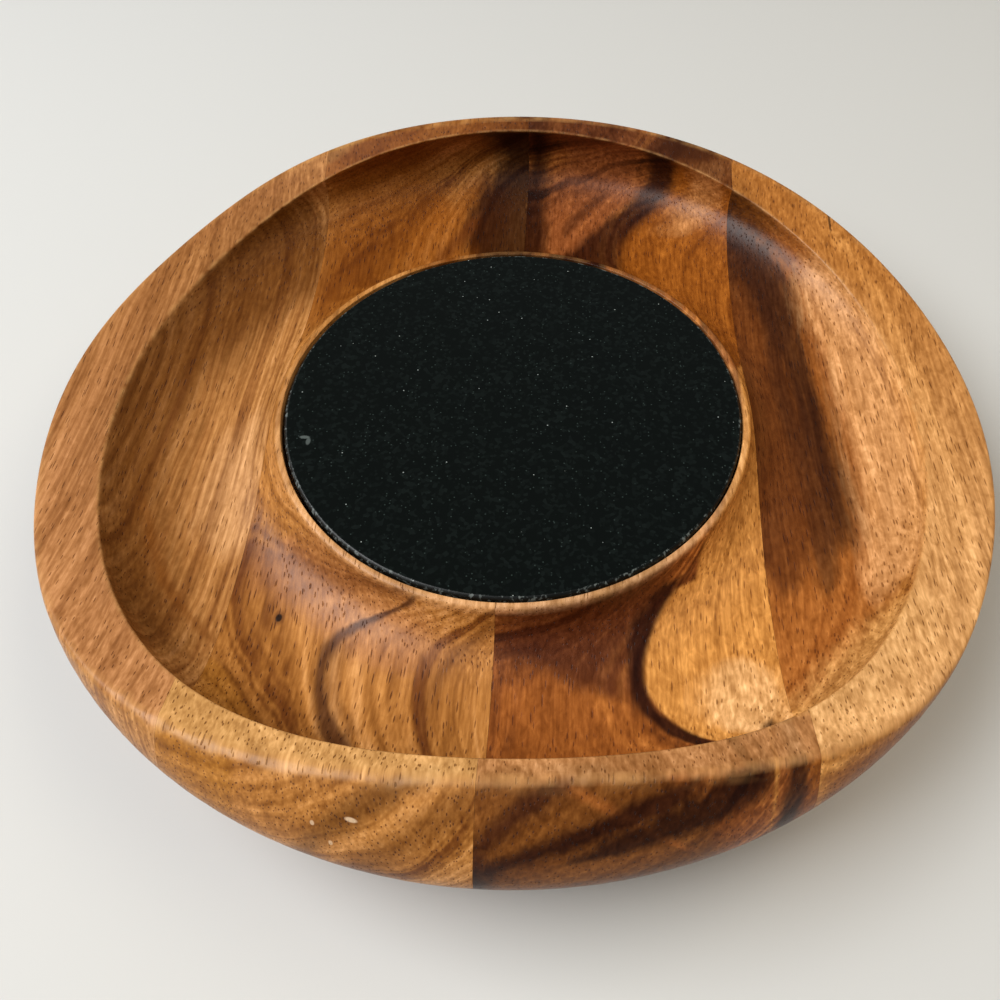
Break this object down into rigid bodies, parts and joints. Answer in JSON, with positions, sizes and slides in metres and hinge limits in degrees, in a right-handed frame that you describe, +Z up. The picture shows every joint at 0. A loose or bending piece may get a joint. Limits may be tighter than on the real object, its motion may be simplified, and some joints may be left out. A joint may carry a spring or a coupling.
{
  "type": "chip and dip server",
  "caption": "Round wooden chip and dip server with a wavy rim, an annular trough and a lift-out polished granite disc in its raised centre.",
  "frame": {"origin": "centre of the flat base, on the surface that the server stands on; it is also on the turning axis", "axes": "+Z up along the turning axis; the boards' grain and the rim's two crests lie along Y, -Y is the front, +X is right"},
  "size_m": [0.3074, 0.308, 0.0621],
  "materials": {
    "acacia_left_outer": "turned and oiled, satin, pinkish tan",
    "acacia_left_inner": "turned and oiled, satin, light tan with dark streaks",
    "acacia_right_inner": "turned and oiled, satin, chocolate heartwood with golden sapwood",
    "acacia_right_outer": "turned and oiled, satin, golden tan with a dark band",
    "black_granite": "polished, fine grey speckle",
    "clear_silicone": "moulded, clear, soft"
  },
  "bodies": {
    "server_body": {"stave_left_outer": "acacia_left_outer", "stave_left_inner": "acacia_left_inner", "stave_right_inner": "acacia_right_inner", "stave_right_outer": "acacia_right_outer", "disc_cushion_1": "clear_silicone", "disc_cushion_2": "clear_silicone", "disc_cushion_3": "clear_silicone"},
    "disc": {"granite_disc": "black_granite"}
  },
  "joints": [
    {"name": "disc_lift", "type": "slide", "parent": "server_body", "child": "disc", "axis": [0, 0, 1], "range_m": [0, 0.05]}
  ]
}
